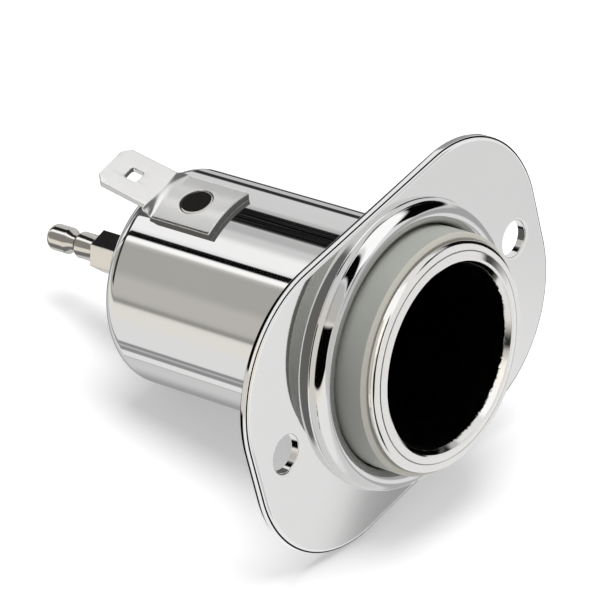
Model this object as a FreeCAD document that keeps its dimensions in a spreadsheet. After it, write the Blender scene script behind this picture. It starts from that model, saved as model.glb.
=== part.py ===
"""Power socket for a car's interior, as an assembly of its real pieces, in millimetres.

The socket's axis is Y: the mouth faces -Y and the terminal points to +Y. The origin is the centre of
the flange's back face, X runs along the two screw holes and Z points up, towards the earth tab.
"""
import FreeCAD, Part
import math
import os
import Sketcher
from FreeCAD import Placement, Rotation, Vector

SIZES = {
    # flange plate with its two screw holes
    "plate_thickness": 1.2,
    "plate_side_margin": 0.6,
    "plate_end_flat": 6.6,
    "plate_edge_round": 0.45,
    "hole_diameter": 4.3,
    "hole_collar_gap": 1.85,
    "hole_end_margin": 2.75,
    # raised collar round the light ring
    "collar_wall": 2.3,
    "collar_foot_round": 0.5,
    "collar_side_height": 0.9,
    "collar_inner_height": 1.4,
    "collar_play": 0.4,
    "ledge_thickness": 0.8,
    # light ring
    "ring_wall": 2.5,
    "ring_reach": 5.35,
    "ring_rim_width": 0.5,
    "ring_rim_depth": 0.35,
    "ring_tail_wall": 0.7,
    "ring_tail_length": 5.0,
    "ring_play": 0.1,
    # inner tube with its turned-out lip
    "bore_diameter": 21.0,
    "tube_wall": 0.7,
    "lip_overhang": 1.9,
    "lip_thickness": 1.3,
    "lip_face_drop": 0.65,
    "lip_round": 0.55,
    "lip_crest_width": 0.7,
    "lip_crest_round": 0.25,
    "lip_bevel_depth": 0.95,
    "lip_inner_round": 0.4,
    "tube_bottom_round": 1.5,
    "tube_step": 1.2,
    "tube_step_gap": 1.2,
    # can behind the flange
    "can_length": 33.0,
    "can_wall": 0.6,
    "can_rear_round": 2.4,
    "can_mouth_rim": 1.9,
    "can_mouth_round": 0.5,
    # contact stack on the axis
    "screw_diameter": 3.0,
    "screw_play": 0.05,
    "screw_head_diameter": 7.2,
    "screw_head_height": 1.6,
    "screw_head_round": 0.9,
    "screw_end_gap": 0.2,
    "contact_diameter": 11.0,
    "contact_thickness": 0.5,
    "contact_dish": 0.8,
    "insulator_side_gap": 0.5,
    "insulator_thickness": 1.5,
    "boss_diameter": 5.0,
    "boss_play": 0.1,
    "tension_thickness": 0.5,
    "tension_height": 1.3,
    "bush_diameter": 12.0,
    "bush_nose_diameter": 6.8,
    "bush_thickness": 1.2,
    "washer_diameter": 7.0,
    "washer_thickness": 0.6,
    "lock_diameter": 6.0,
    "lock_thickness": 0.8,
    "lock_split": 0.6,
    # rear terminal
    "hex_across_flats": 4.5,
    "hex_length": 8.2,
    "hex_turn_angle": 8.0,
    "thread_depth": 6.0,
    "pin_diameter": 3.2,
    "pin_shoulder_length": 3.2,
    "pin_groove_length": 1.9,
    "pin_groove_depth": 0.45,
    "pin_head_length": 2.9,
    "pin_nose_round": 0.9,
    # earth tab and its rivet
    "tab_turn_angle": 5.9,
    "tab_thickness": 0.8,
    "tab_foot_width": 7.7,
    "tab_foot_length": 8.3,
    "tab_setback": 5.0,
    "tab_bend_length": 1.6,
    "tab_bend_width": 7.0,
    "tab_rise_angle": 15.0,
    "blade_width": 6.0,
    "blade_length": 8.8,
    "blade_chamfer": 0.95,
    "blade_hole": 1.7,
    "blade_hole_round": 0.35,
    "blade_hole_place": 5.3,
    "rivet_head_diameter": 3.8,
    "rivet_shank_diameter": 2.6,
    "rivet_setback": 3.7,
    "rivet_recess": 0.1,
    "rivet_play": 0.08,
    "rivet_tail_diameter": 3.6,
    "rivet_tail_thickness": 0.45,
}

doc = FreeCAD.newDocument("power_socket")
sheet = doc.addObject("Spreadsheet::Sheet", "Sizes")
for row, (alias, value) in enumerate(SIZES.items(), start=1):
    sheet.set(f"A{row}", alias)
    sheet.set(f"B{row}", str(value))
    sheet.setAlias(f"B{row}", alias)
doc.recompute()


class Size:
    """A size of the sheet, or one worked out from such sizes: its value now, and its formula."""

    def __init__(self, value, formula):
        self.value = float(value)
        self.formula = formula

    def joined(self, sign, other, result):
        return Size(result, f"({self.formula} {sign} {formula_of(other)})")

    def __add__(self, other):
        return self.joined("+", other, self.value + number(other))

    def __sub__(self, other):
        return self.joined("-", other, self.value - number(other))

    def __mul__(self, other):
        return self.joined("*", other, self.value * number(other))

    def __truediv__(self, other):
        return self.joined("/", other, self.value / number(other))

    def __neg__(self):
        return Size(-self.value, f"(0 - {self.formula})")


def number(amount):
    return amount.value if isinstance(amount, Size) else float(amount)


def formula_of(amount):
    return amount.formula if isinstance(amount, Size) else repr(amount)


def size(alias):
    return Size(sheet.get(alias), f"Sizes.{alias}")


def root(inner):
    return Size(math.sqrt(inner.value), f"sqrt({inner.formula})")


def sine(angle):
    return Size(math.sin(math.radians(angle.value)), f"sin({angle.formula})")


def cosine(angle):
    return Size(math.cos(math.radians(angle.value)), f"cos({angle.formula})")


ZERO = Size(0, "0")


class Bulge:
    """Marks an outline's corner that an arc, not a line, joins to the next one.

    The arc's centre lies on the left or on the right of the way from the corner to the next one.
    """

    def __init__(self, radius, centre_left):
        self.radius = radius
        self.centre_left = centre_left


def new_body(label):
    body = doc.addObject("PartDesign::Body", label)
    body.Label = label
    return body


def new_sketch(body, name, plane, forward=ZERO, up=ZERO, tilt=ZERO):
    """A sketch on an origin plane: forward moves it along the plane's normal, up along its own
    second axis, and tilt turns it about its first axis by an angle.

    On XY the sketch's axes are X and Y. On XZ they are X and Z, with the normal along -Y.
    """
    flat = next(item for item in body.Origin.OriginFeatures if item.Role == f"{plane}_Plane")
    sketch = body.newObject("Sketcher::SketchObject", f"{body.Label}_{name}")
    sketch.AttachmentSupport = [(flat, "")]
    sketch.MapMode = "FlatFace"
    sketch.AttachmentOffset = Placement(Vector(0, up.value, forward.value),
                                        Rotation(Vector(1, 0, 0), tilt.value))
    sketch.setExpression("AttachmentOffset.Base.y", up.formula)
    sketch.setExpression("AttachmentOffset.Base.z", forward.formula)
    if tilt is not ZERO:
        sketch.setExpression("AttachmentOffset.Rotation.Angle", tilt.formula)
    return sketch


def fix_point(sketch, index, place, x, y):
    """Holds a sketch point at x, y from the sketch's origin."""
    for kind, amount in (("DistanceX", x), ("DistanceY", y)):
        row = sketch.addConstraint(Sketcher.Constraint(kind, -1, 1, index, place, amount.value))
        sketch.setExpression(f"Constraints[{row}]", amount.formula)


def fix_radius(sketch, index, radius):
    row = sketch.addConstraint(Sketcher.Constraint("Radius", index, radius.value))
    sketch.setExpression(f"Constraints[{row}]", radius.formula)


def join_ends(sketch, first, first_end, second, second_end, kind="Coincident"):
    sketch.addConstraint(Sketcher.Constraint(kind, first, first_end, second, second_end))


def draw_arc(sketch, start, end, centre):
    """Adds the shorter arc from start to end. Returns its index and which of its ends is which."""
    first = math.atan2(start.y - centre.y, start.x - centre.x)
    sweep = (math.atan2(end.y - centre.y, end.x - centre.x) - first) % (2 * math.pi)
    circle = Part.Circle(centre, Vector(0, 0, 1), (start - centre).Length)
    if sweep <= math.pi:
        return sketch.addGeometry(Part.ArcOfCircle(circle, first, first + sweep), False), 1, 2
    return sketch.addGeometry(Part.ArcOfCircle(circle, first + sweep, first + 2 * math.pi), False), 2, 1


def draw_bulge(sketch, start, end, bulge):
    """Adds a marked arc between two corners."""
    along = end - start
    left = Vector(-along.y, along.x, 0).normalize()
    reach = math.sqrt(bulge.radius.value ** 2 - (along.Length / 2) ** 2)
    centre = (start + end) * 0.5 + left * (reach if bulge.centre_left else -reach)
    side = draw_arc(sketch, start, end, centre)
    fix_radius(sketch, side[0], bulge.radius)
    return side


def rounding(before, corner, after, radius):
    """Where the rounding of a corner begins and ends, and its centre."""
    to_before = (before - corner).normalize()
    to_after = (after - corner).normalize()
    half = to_before.getAngle(to_after) / 2
    reach = radius / math.tan(half)
    middle = (to_before + to_after).normalize()
    return corner + to_before * reach, corner + to_after * reach, corner + middle * (radius / math.sin(half))


def draw_profile(sketch, corners):
    """Draws a closed outline through corners: (x, y) is sharp, (x, y, size) is rounded with that
    radius, and (x, y, Bulge) is joined to the next corner by an arc instead of a line.
    """
    count = len(corners)
    spots = [Vector(x.value, y.value, 0) for x, y, *_ in corners]
    extras = [corner[2] if len(corner) == 3 else None for corner in corners]
    marks = []
    for (x, y, *_), spot in zip(corners, spots):
        mark = sketch.addGeometry(Part.Point(spot), True)
        fix_point(sketch, mark, 1, x, y)
        marks.append(mark)

    turns = {}
    for i, extra in enumerate(extras):
        if isinstance(extra, Size):
            turns[i] = rounding(spots[i - 1], spots[i], spots[(i + 1) % count], extra.value)

    sides = []
    for i in range(count):
        after = (i + 1) % count
        start = turns[i][1] if i in turns else spots[i]
        end = turns[after][0] if after in turns else spots[after]
        if isinstance(extras[i], Bulge):
            side = draw_bulge(sketch, start, end, extras[i])
        else:
            side = (sketch.addGeometry(Part.LineSegment(start, end), False), 1, 2)
        sides.append(side)
        if i not in turns:
            join_ends(sketch, side[0], side[1], marks[i], 1)
        if after not in turns:
            join_ends(sketch, side[0], side[2], marks[after], 1)

    for i, (start, end, centre) in turns.items():
        arc, first, last = draw_arc(sketch, start, end, centre)
        before, after = sides[i - 1], sides[i]
        join_ends(sketch, before[0], before[2], arc, first, "Tangent")
        join_ends(sketch, arc, last, after[0], after[1], "Tangent")
        sketch.addConstraint(Sketcher.Constraint("PointOnObject", marks[i], 1, before[0]))
        sketch.addConstraint(Sketcher.Constraint("PointOnObject", marks[i], 1, after[0]))
        fix_radius(sketch, arc, extras[i])


def draw_circle(sketch, x, y, radius):
    circle = Part.Circle(Vector(x.value, y.value, 0), Vector(0, 0, 1), radius.value)
    index = sketch.addGeometry(circle, False)
    fix_point(sketch, index, 3, x, y)
    fix_radius(sketch, index, radius)


def add_feature(body, kind, name, sketch, **settings):
    feature = body.newObject(f"PartDesign::{kind}", f"{body.Label}_{name}")
    feature.Profile = sketch
    for prop, value in settings.items():
        if isinstance(value, Size):
            setattr(feature, prop, value.value)
            feature.setExpression(prop, value.formula)
        else:
            setattr(feature, prop, value)
    doc.recompute()
    return feature


def revolve(body, name, corners):
    """Turns a profile of (radius, height) corners about the axis that the body is turned on."""
    sketch = new_sketch(body, f"{name}_profile", "XY")
    draw_profile(sketch, corners)
    return add_feature(body, "Revolution", name, sketch, ReferenceAxis=(sketch, ["V_Axis"]), Angle=360)


def cut(body, kind, name, sketch, **settings):
    """Adds a pocket or groove, and makes sure that it takes something away."""
    before = body.Shape.Volume
    feature = add_feature(body, kind, name, sketch, **settings)
    if body.Shape.Volume >= before:
        raise RuntimeError(f"{feature.Name} cuts nothing")
    return feature


def cut_round(body, name, corners):
    sketch = new_sketch(body, f"{name}_profile", "XY")
    draw_profile(sketch, corners)
    cut(body, "Groove", name, sketch, ReferenceAxis=(sketch, ["V_Axis"]), Angle=360)


def turn_about_axis(body, angle):
    """Turns a piece about the socket's axis, from Z towards -X."""
    body.Placement = Placement(Vector(0, 0, 0), Rotation(Vector(0, 1, 0), -angle.value))
    body.setExpression("Placement.Rotation.Angle", (-angle).formula)


# Places that several pieces share, worked out from the front to the rear
plate_front = -size("plate_thickness")
ring_front = plate_front - size("ring_reach")
can_rear = size("can_length")
can_floor = can_rear - size("can_wall")
tube_rear = can_floor - size("tension_height")
tube_floor = tube_rear - size("tube_wall")
insulator_front = tube_floor - size("insulator_thickness")
contact_seat = insulator_front - size("contact_thickness")
screw_front = contact_seat - size("screw_head_height")
bush_rear = can_rear + size("bush_thickness")
washer_rear = bush_rear + size("washer_thickness")
hex_front = washer_rear + size("lock_thickness")
hex_rear = hex_front + size("hex_length")

foot_end = can_rear - size("tab_setback")
rivet_place = foot_end - size("rivet_setback")

# Radii that several pieces share, from the axis outwards
screw_radius = size("screw_diameter") / 2
screw_hole = screw_radius + size("screw_play")
boss_radius = size("boss_diameter") / 2
boss_hole = boss_radius + size("boss_play")
bush_nose = size("bush_nose_diameter") / 2
tube_inner = size("bore_diameter") / 2
tube_outer = tube_inner + size("tube_wall")
tube_bottom_inner_round = size("tube_bottom_round") - size("tube_wall")
insulator_radius = tube_inner - size("tube_step") - tube_bottom_inner_round - size("insulator_side_gap")
ring_inner = tube_outer + size("ring_play")
ring_tail = ring_inner + size("ring_tail_wall")
can_inner = ring_tail + size("ring_play")
can_outer = can_inner + size("can_wall")
ring_outer = ring_inner + size("ring_wall")
counterbore = ring_outer + size("collar_play")
collar_outer = counterbore + size("collar_wall")
collar_foot = collar_outer + size("collar_foot_round")
tab_outer = can_outer + size("tab_thickness")
rivet_head = size("rivet_head_diameter") / 2
rivet_shank = size("rivet_shank_diameter") / 2


def make_flange_plate():
    """The oval plate with its two holes, its raised collar and the ledge that the ring bears on."""
    body = new_body("flange_plate")
    hole_radius = size("hole_diameter") / 2
    hole_place = collar_foot + size("hole_collar_gap") + hole_radius
    half_length = hole_place + hole_radius + size("hole_end_margin")
    half_width = collar_foot + size("plate_side_margin")
    corner = half_width - size("plate_end_flat") / 2
    outline = new_sketch(body, "outline", "XZ")
    draw_profile(outline, [
        (half_length, half_width, corner),
        (-half_length, half_width, corner),
        (-half_length, -half_width, corner),
        (half_length, -half_width, corner),
    ])
    add_feature(body, "Pad", "plate", outline, Length=size("plate_thickness"))

    holes = new_sketch(body, "holes", "XZ")
    draw_circle(holes, hole_place, ZERO, hole_radius)
    draw_circle(holes, -hole_place, ZERO, hole_radius)
    drilled = cut(body, "Pocket", "screw_holes", holes, Length=size("plate_thickness"), Reversed=True)

    front_edges = []
    for index, edge in enumerate(drilled.Shape.Edges, start=1):
        if all(abs(vertex.Y - plate_front.value) < 1e-6 for vertex in edge.Vertexes):
            front_edges.append(f"Edge{index}")
    soft_edge = body.newObject("PartDesign::Fillet", "flange_plate_front_round")
    soft_edge.Base = (drilled, front_edges)
    edge_round = size("plate_edge_round")
    soft_edge.Radius = edge_round.value
    soft_edge.setExpression("Radius", edge_round.formula)
    doc.recompute()

    foot = size("collar_foot_round")
    wall = size("collar_wall")
    side = size("collar_side_height")
    crown_drop = size("collar_inner_height") - side
    crown = (wall * wall + crown_drop * crown_drop) / (wall * 2)
    collar_top = plate_front - size("collar_inner_height")
    ledge = -size("ledge_thickness")
    revolve(body, "collar", [
        (ring_tail, ledge),
        (collar_foot, ledge),
        (collar_foot, plate_front, Bulge(foot, centre_left=True)),
        (collar_outer, plate_front - foot),
        (collar_outer, plate_front - side, Bulge(crown, centre_left=False)),
        (counterbore, collar_top),
        (ring_tail, collar_top),
    ])
    beyond = collar_top - wall
    cut_round(body, "bore", [
        (ZERO, size("plate_thickness")),
        (can_inner, size("plate_thickness")),
        (can_inner, ledge),
        (counterbore, ledge),
        (counterbore, beyond),
        (ZERO, beyond),
    ])
    return body


def make_light_ring():
    """The plastic sleeve: a thick front that stands out of the collar and a thin tail in the can."""
    body = new_body("light_ring")
    step = -size("ledge_thickness")
    revolve(body, "sleeve", [
        (ring_inner, ring_front),
        (ring_outer - size("ring_rim_width"), ring_front),
        (ring_outer, ring_front + size("ring_rim_depth")),
        (ring_outer, step),
        (ring_tail, step),
        (ring_tail, size("ring_tail_length")),
        (ring_inner, size("ring_tail_length")),
    ])
    return body


def make_socket_tube():
    """The drawn cup that takes the plug, with a turned-out lip that hooks over the ring's rim.

    Its bore ends in a conical step just before the contact, and the narrower bottom is behind it.
    """
    body = new_body("socket_tube")
    step = size("tube_step")
    step_start = screw_front - size("tube_step_gap")
    outer_step_start = step_start + size("tube_wall") * (math.sqrt(2) - 1)
    lip_front = ring_front - size("lip_thickness")
    lip_outer = tube_outer + size("lip_overhang")
    bottom_round = size("tube_bottom_round")
    revolve(body, "cup", [
        (tube_inner, step_start),
        (tube_inner - step, step_start + step),
        (tube_inner - step, tube_floor, tube_bottom_inner_round),
        (boss_hole, tube_floor),
        (boss_hole, tube_rear),
        (tube_outer - step, tube_rear, bottom_round),
        (tube_outer - step, outer_step_start + step),
        (tube_outer, outer_step_start),
        (tube_outer, ring_front),
        (lip_outer, ring_front),
        (lip_outer, lip_front + size("lip_face_drop"), size("lip_round")),
        (tube_inner + size("lip_crest_width"), lip_front, size("lip_crest_round")),
        (tube_inner, lip_front + size("lip_bevel_depth"), size("lip_inner_round")),
    ])
    return body


def make_outer_can():
    """The deep-drawn can, its mouth turned out against the flange, with a rivet hole for the tab."""
    body = new_body("outer_can")
    wall = size("can_wall")
    mouth_rim = can_outer + size("can_mouth_rim")
    mouth_round = size("can_mouth_round")
    rear_round = size("can_rear_round")
    bush_hole = bush_nose + size("boss_play")
    revolve(body, "shell", [
        (mouth_rim, ZERO),
        (mouth_rim, wall),
        (can_outer, wall, mouth_round),
        (can_outer, can_rear, rear_round),
        (bush_hole, can_rear),
        (bush_hole, can_floor),
        (can_inner, can_floor, rear_round - wall),
        (can_inner, ZERO, mouth_round + wall),
    ])
    hole = new_sketch(body, "rivet_hole", "XY")
    draw_circle(hole, ZERO, rivet_place, rivet_shank)
    cut(body, "Pocket", "rivet_hole_cut", hole, Length=can_outer, Reversed=True)
    turn_about_axis(body, size("tab_turn_angle"))
    return body


def make_contact_screw():
    """The screw whose head lies in the tube and whose shank runs through the stack."""
    body = new_body("contact_screw")
    head = size("screw_head_diameter") / 2
    shank_end = hex_front + size("thread_depth") - size("screw_end_gap")
    revolve(body, "screw", [
        (ZERO, screw_front),
        (head, screw_front, size("screw_head_round")),
        (head, contact_seat),
        (screw_radius, contact_seat),
        (screw_radius, shank_end),
        (ZERO, shank_end),
    ])
    return body


def make_contact_disc():
    """The centre contact, dished towards the mouth so that the plug's tip meets it early."""
    body = new_body("contact_disc")
    outer = size("contact_diameter") / 2
    flat = size("screw_head_diameter") / 2
    dish = size("contact_dish")
    revolve(body, "disc", [
        (screw_hole, contact_seat),
        (flat, contact_seat),
        (outer, contact_seat - dish),
        (outer, insulator_front - dish),
        (flat, insulator_front),
        (screw_hole, insulator_front),
    ])
    return body


def make_insulator(label, shoulder_radius, shoulder_end, seat, nose_radius, nose_end):
    """An insulator bored for the screw: a wide shoulder and a narrower nose beyond its seat."""
    body = new_body(label)
    revolve(body, "body", [
        (screw_hole, shoulder_end),
        (shoulder_radius, shoulder_end),
        (shoulder_radius, seat),
        (nose_radius, seat),
        (nose_radius, nose_end),
        (screw_hole, nose_end),
    ])
    return body


def make_tension_washer():
    """A dished spring washer, as wide as the insulator: its middle bears on the tube, its rim on the can."""
    body = new_body("tension_washer")
    inner = boss_hole
    outer = insulator_radius
    thickness = size("tension_thickness")
    revolve(body, "dish", [
        (inner, tube_rear),
        (inner + thickness, tube_rear),
        (outer, can_floor - thickness),
        (outer, can_floor),
        (outer - thickness, can_floor),
        (inner, tube_rear + thickness),
    ])
    return body


def make_washer(label, outer, start, end):
    """A flat ring on the screw, from one place on the axis to another."""
    body = new_body(label)
    revolve(body, "ring", [(screw_hole, start), (outer, start), (outer, end), (screw_hole, end)])
    return body


def make_lock_washer():
    """A flattened spring washer with its split."""
    outer = size("lock_diameter") / 2
    body = make_washer("lock_washer", outer, washer_rear, hex_front)
    half = size("lock_split") / 2
    split = new_sketch(body, "split", "XZ", forward=-hex_front)
    draw_profile(split, [(half, ZERO), (half, outer + half), (-half, outer + half), (-half, ZERO)])
    cut(body, "Pocket", "split_cut", split, Length=size("lock_thickness"), Reversed=True)
    return body


def make_terminal_bullet():
    """The rear terminal: a hexagon tapped in front, and a pin with a snap groove and a round nose."""
    body = new_body("terminal_bullet")
    pin = size("pin_diameter") / 2
    shoulder_end = hex_rear + size("pin_shoulder_length")
    groove_end = shoulder_end + size("pin_groove_length")
    groove_half = size("pin_groove_length") / 2
    groove_floor = pin - size("pin_groove_depth")
    pin_end = groove_end + size("pin_head_length")
    root_start = hex_front + size("thread_depth")
    revolve(body, "pin", [
        (ZERO, root_start),
        (pin, root_start),
        (pin, shoulder_end),
        (groove_floor, shoulder_end + groove_half, groove_half),
        (pin, groove_end),
        (pin, pin_end, size("pin_nose_round")),
        (ZERO, pin_end),
    ])

    hexagon = new_sketch(body, "hexagon", "XZ", forward=-hex_front)
    side = size("hex_across_flats") / math.sqrt(3)
    flat = size("hex_across_flats") / 2
    draw_profile(hexagon, [
        (side, ZERO), (side / 2, flat), (-side / 2, flat),
        (-side, ZERO), (-side / 2, -flat), (side / 2, -flat),
    ])
    add_feature(body, "Pad", "hexagon_bar", hexagon, Length=size("hex_length"), Reversed=True)
    tapped = new_sketch(body, "tapped_hole", "XZ", forward=-hex_front)
    draw_circle(tapped, ZERO, ZERO, screw_hole)
    cut(body, "Pocket", "tapped_hole_cut", tapped, Length=size("thread_depth"))
    turn_about_axis(body, size("hex_turn_angle"))
    return body


def draw_foot_section(sketch):
    """The strip that hugs the can, symmetric about the vertical."""
    half = size("tab_foot_width") / 2
    low = root(can_outer * can_outer - half * half)
    high = root(tab_outer * tab_outer - half * half)
    draw_profile(sketch, [
        (-half, low, Bulge(can_outer, centre_left=False)),
        (half, low),
        (half, high, Bulge(tab_outer, centre_left=True)),
        (-half, high),
    ])


def make_ground_tab():
    """The earth tab: a foot curved to the can, a short bend, and a flat blade that rises outwards."""
    body = new_body("ground_tab")
    rise = size("tab_rise_angle")
    thickness = size("tab_thickness")
    foot = new_sketch(body, "foot_section", "XZ", forward=-foot_end)
    draw_foot_section(foot)
    add_feature(body, "Pad", "foot", foot, Length=size("tab_foot_length"))

    # The bend turns the curved section into a flat one, square to the blade
    bend_start = new_sketch(body, "bend_start", "XZ", forward=-foot_end)
    draw_foot_section(bend_start)
    bend = size("tab_bend_length")
    bend_end = new_sketch(body, "bend_end", "XZ", forward=-(foot_end + bend * cosine(rise)),
                          up=tab_outer + bend * sine(rise), tilt=rise)
    half = size("tab_bend_width") / 2
    draw_profile(bend_end, [(-half, -thickness), (half, -thickness), (half, ZERO), (-half, ZERO)])
    add_feature(body, "AdditiveLoft", "bend", bend_start, Sections=[bend_end])

    half = size("blade_width") / 2
    tip = size("blade_length")
    chamfer = size("blade_chamfer")
    blade = new_sketch(body, "blade_outline", "XY", forward=tab_outer, up=foot_end, tilt=rise)
    draw_profile(blade, [
        (-half, bend), (half, bend),
        (half, tip - chamfer), (half - chamfer, tip),
        (chamfer - half, tip), (-half, tip - chamfer),
    ])
    hole = size("blade_hole") / 2
    middle = size("blade_hole_place")
    soft = size("blade_hole_round")
    draw_profile(blade, [
        (-hole, middle - hole, soft), (hole, middle - hole, soft),
        (hole, middle + hole, soft), (-hole, middle + hole, soft),
    ])
    add_feature(body, "Pad", "blade", blade, Length=thickness, Reversed=True)

    seat = new_sketch(body, "rivet_seat", "XY")
    draw_circle(seat, ZERO, rivet_place, rivet_head + size("rivet_play"))
    cut(body, "Pocket", "rivet_seat_cut", seat, Length=tab_outer, Reversed=True)
    turn_about_axis(body, size("tab_turn_angle"))
    return body


def make_ground_rivet():
    """The flush rivet: its head fills the tab's hole and its tail is closed inside the can."""
    body = new_body("ground_rivet")
    tail = size("rivet_tail_diameter") / 2
    tail_top = root(can_inner * can_inner - tail * tail)
    tail_end = tail_top - size("rivet_tail_thickness")
    head_top = tab_outer - size("rivet_recess")
    sketch = new_sketch(body, "profile", "XZ", forward=-rivet_place)
    draw_profile(sketch, [
        (ZERO, head_top), (rivet_head, head_top),
        (rivet_head, can_outer), (rivet_shank, can_outer),
        (rivet_shank, tail_top), (tail, tail_top),
        (tail, tail_end), (ZERO, tail_end),
    ])
    add_feature(body, "Revolution", "rivet", sketch, ReferenceAxis=(sketch, ["V_Axis"]), Angle=360)
    turn_about_axis(body, size("tab_turn_angle"))
    return body


pieces = [
    make_flange_plate(),
    make_light_ring(),
    make_socket_tube(),
    make_outer_can(),
    make_contact_screw(),
    make_contact_disc(),
    make_insulator("inner_insulator", insulator_radius, insulator_front, tube_floor, boss_radius, can_floor),
    make_tension_washer(),
    make_insulator("rear_insulator", size("bush_diameter") / 2, bush_rear, can_rear, bush_nose, can_floor),
    make_washer("flat_washer", size("washer_diameter") / 2, bush_rear, washer_rear),
    make_lock_washer(),
    make_terminal_bullet(),
    make_ground_tab(),
    make_ground_rivet(),
]
doc.recompute()

for item in doc.Objects:
    if "Invalid" in item.State or "Error" in item.State:
        raise RuntimeError(f"{item.Label} failed: {item.State}")
for piece in pieces:
    if piece.Shape.isNull() or not piece.Shape.isValid() or len(piece.Shape.Solids) != 1:
        raise RuntimeError(f"{piece.Label} is not one valid solid")

os.makedirs("parts", exist_ok=True)
for piece in pieces:
    piece.Shape.exportStep(f"parts/{piece.Label}.step")
    print(f"{piece.Label}: {piece.Shape.Volume:.1f} mm3")
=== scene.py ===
"""Looks of the power socket: finer forms for its polished pieces, plated and moulded finishes, a pale
table that it lies on, and a soft studio. Lengths are written in millimetres and built in metres.

The socket's axis is Y with the mouth towards -Y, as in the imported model.
"""
import math
import bmesh
import bpy
from mathutils import Matrix, Vector


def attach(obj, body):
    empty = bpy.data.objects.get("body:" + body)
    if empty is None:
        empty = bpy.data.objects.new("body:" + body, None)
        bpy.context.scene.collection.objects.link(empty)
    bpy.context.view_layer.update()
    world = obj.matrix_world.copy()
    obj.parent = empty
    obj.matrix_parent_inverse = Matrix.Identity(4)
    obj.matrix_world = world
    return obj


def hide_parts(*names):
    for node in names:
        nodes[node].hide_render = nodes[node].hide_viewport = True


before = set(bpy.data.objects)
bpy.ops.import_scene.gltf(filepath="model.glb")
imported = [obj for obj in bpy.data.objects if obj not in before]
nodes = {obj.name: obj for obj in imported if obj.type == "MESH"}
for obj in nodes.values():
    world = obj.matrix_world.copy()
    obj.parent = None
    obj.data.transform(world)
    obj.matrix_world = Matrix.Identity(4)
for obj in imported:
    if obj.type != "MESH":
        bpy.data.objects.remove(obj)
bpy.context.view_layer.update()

MM = 0.001

# Radii from the axis outwards
TUBE_HOLE = 2.6
CAN_HOLE = 3.5
BORE = 10.5
TUBE_OUTER = 11.2
RING_INNER = 11.3
RING_TAIL = 12.0
CAN_INNER = 12.1
CAN_OUTER = 12.7
LIP_OUTER = TUBE_OUTER + 1.9
RING_OUTER = 13.8
COUNTERBORE = 14.2
CAN_FLARE = 14.6
COLLAR_OUTER = 16.5
COLLAR_CROWN = 1.354
COLLAR_CORNER = 0.15
COLLAR_FOOT = COLLAR_OUTER + COLLAR_CORNER
COLLAR_SEAM = COLLAR_FOOT + 0.05

# Places along the axis, from the mouth to the rear
LIP_FRONT = -7.85
RING_FRONT = -6.55
COLLAR_TOP = -2.6
PLATE_FRONT = -1.2
CROWN_CENTRE = PLATE_FRONT - 0.75
LEDGE = -0.8
FLARE_REAR = 0.6
RING_TAIL_END = 5.0
TUBE_STEP_START = 25.6
TUBE_FLOOR = 30.4
TUBE_REAR = 31.1
CAN_FLOOR = 32.4
CAN_REAR = 33.0
HEX_FRONT = 35.6
HEX_REAR = 43.8
PIN_END = 51.8

# The tube's wall, and how far its bottom is drawn in
TUBE_WALL = 0.7
TUBE_STEP = 1.2

# The flange's outline and holes
HALF_LENGTH = 25.9
HALF_WIDTH = 17.6
CORNER = 14.3
EDGE_ROUND = 0.45
EDGE_BAND = 0.5
HOLE_PLACE = 21.0
HOLE_RADIUS = 2.15
HOLE_ROUND = 0.35
# The small round on the edge's rear corner: how far inside the outline, and where along the axis
REAR_ROUND = ((0, -0.14), (0.02, -0.06), (0.06, -0.02), (0.14, 0))

# The earth tab: its place, its bend, and its outline cut flat, across it and along it from the bend
TAB_TURN = math.radians(5.9)
TAB_OUTER = 13.5
TAB_THICKNESS = 0.8
TAB_BEND = 28.0
TAB_RISE = math.radians(15)
TAB_BLEND = 1.6
TAB_FRONT = -8.3
TAB_OUTLINE = (
    (-3.85, TAB_FRONT), (3.85, TAB_FRONT), (3.85, 0.1), (3.72, 0.7), (3.4, 1.15), (3.0, 1.45), (3.0, 7.85),
    (2.05, 8.8), (-2.05, 8.8), (-3.0, 7.85), (-3.0, 1.6), (-3.5, 1.6), (-3.85, 0.2),
)
LATCH_PLACE = 5.3
LATCH_HALF = 0.85
LATCH_ROUND = 0.3

# The rivet
RIVET_PLACE = 24.3
RIVET_SHANK = 1.3
RIVET_HEAD = 1.9
RIVET_TAIL = 1.8
RIVET_TOP = TAB_OUTER - 0.1
TAIL_OUTER = 11.97
TAIL_INNER = 11.52

# The rear terminal: across the hexagon's flats, how it is turned, its screw hole and its pin
HEX_WIDTH = 4.5
HEX_TURN = math.radians(-8)
SCREW_HOLE = 1.55
PIN_RADIUS = 1.6
PIN_GROOVE = 1.15
PIN_SUNK = 1.5

# How finely the forms are divided: steps round the axis, and the squares of the bent tab
SWEEP_STEPS = 480
POLISHED_STEPS = 320
TURNED_STEPS = 256
PIN_STEPS = 128
HOLE_STEPS = 96
TAB_GRID = 0.35
BEND_GRID = 0.1
# Short steps beside a corner, which hold the face next to it flat
HOLD = 0.03
STEP = 0.04
# Edges past this angle in degrees are sharp, and a face this straight along the axis is flat
SHARP = 32
FLAT = 0.99999
# Spots closer than this in metres are one
MERGE = 1e-7

# Painted shade in the tube's deep bore: black past the lip, with a ragged front edge
BLACK_RADIUS = 10.85
BLACK_FRONT = -7.12
BLACK_FULL = -7.0
BLACK_REAR = 30.7
BLACK_RAGGED = 0.6

# Colours and small heights of the finishes
CHROME = (0.80, 0.798, 0.795)
CREAM = (0.66, 0.64, 0.57, 1)
SKIN_DEPTH = 0.00003
WAVE_DEPTH = 0.0001
# Shares of the light that the finishes throw back
CHROME_SHARE, SATIN_SHARE, BORE_SHARE, NICKEL_SHARE = 0.80, 0.76, 0.74, 0.70

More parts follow.
